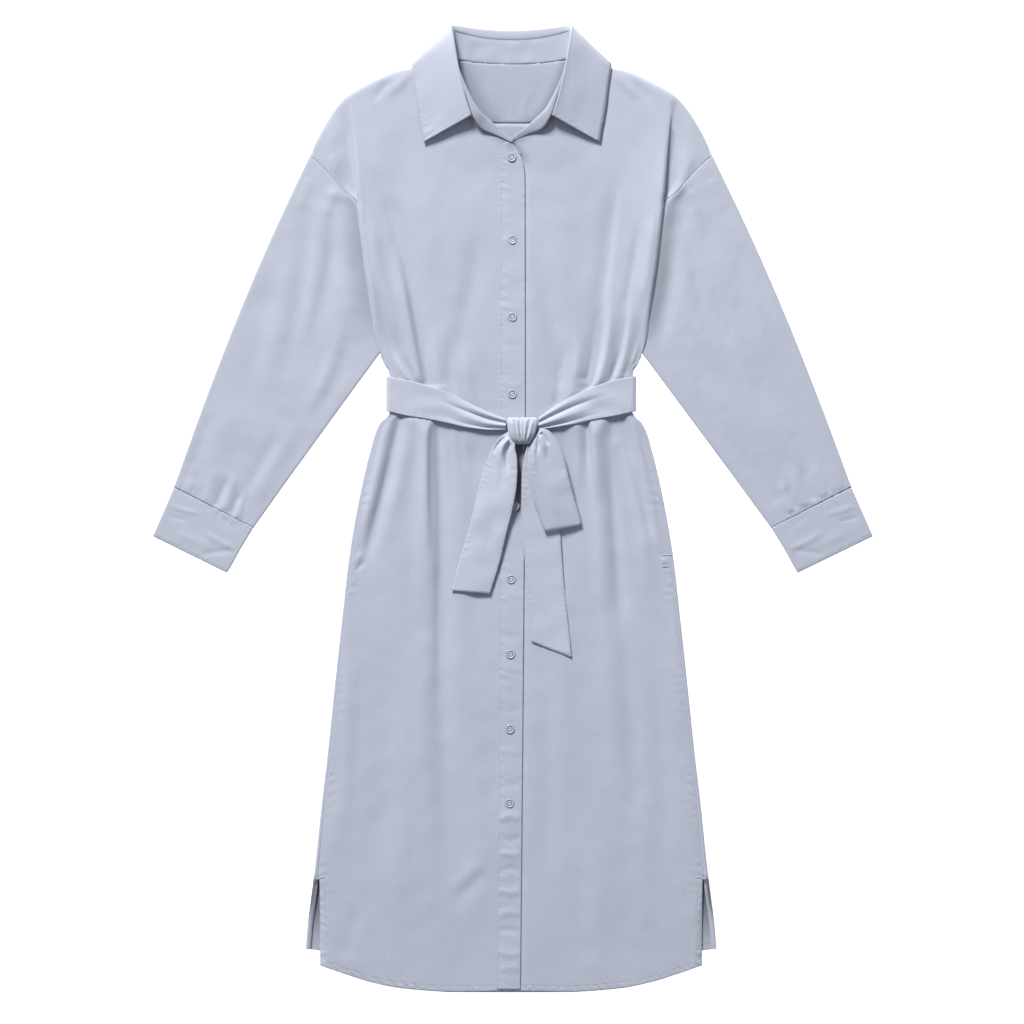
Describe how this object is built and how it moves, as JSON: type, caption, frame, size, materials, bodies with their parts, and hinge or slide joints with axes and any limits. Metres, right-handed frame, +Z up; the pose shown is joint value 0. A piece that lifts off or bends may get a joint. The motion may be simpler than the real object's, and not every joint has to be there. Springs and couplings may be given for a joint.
{
  "type": "shirt dress",
  "caption": "Long-sleeved button-front shirt dress with a pointed collar, side slits and a self-fabric belt tied in a half bow, laid flat front up.",
  "frame": {"origin": "centre of the dress's outline, on the surface it lies on", "axes": "+X to the wearer's left, +Y along the dress from hem to collar, +Z up off the surface, out of the front"},
  "size_m": [0.9338, 1.2586, 0.0224],
  "materials": {
    "cotton": "plain-woven cotton poplin, pale blue, matt",
    "button": "dyed to match the cloth, softly glossy"
  },
  "bodies": {
    "root": {"back_panel": "cotton", "back_yoke": "cotton", "front_right": "cotton", "front_left": "cotton", "placket": "cotton", "sleeve_right": "cotton", "cuff_right": "cotton", "sleeve_left": "cotton", "cuff_left": "cotton", "collar_stand": "cotton", "collar_leaf": "cotton", "belt_band": "cotton", "belt_knot": "cotton", "belt_loop": "cotton", "belt_tail_right": "cotton", "belt_tail_left": "cotton", "button_1": "button", "button_2": "button", "button_3": "button", "button_4": "button", "button_5": "button", "button_6": "button", "button_7": "button", "button_8": "button", "button_9": "button"}
  },
  "joints": []
}
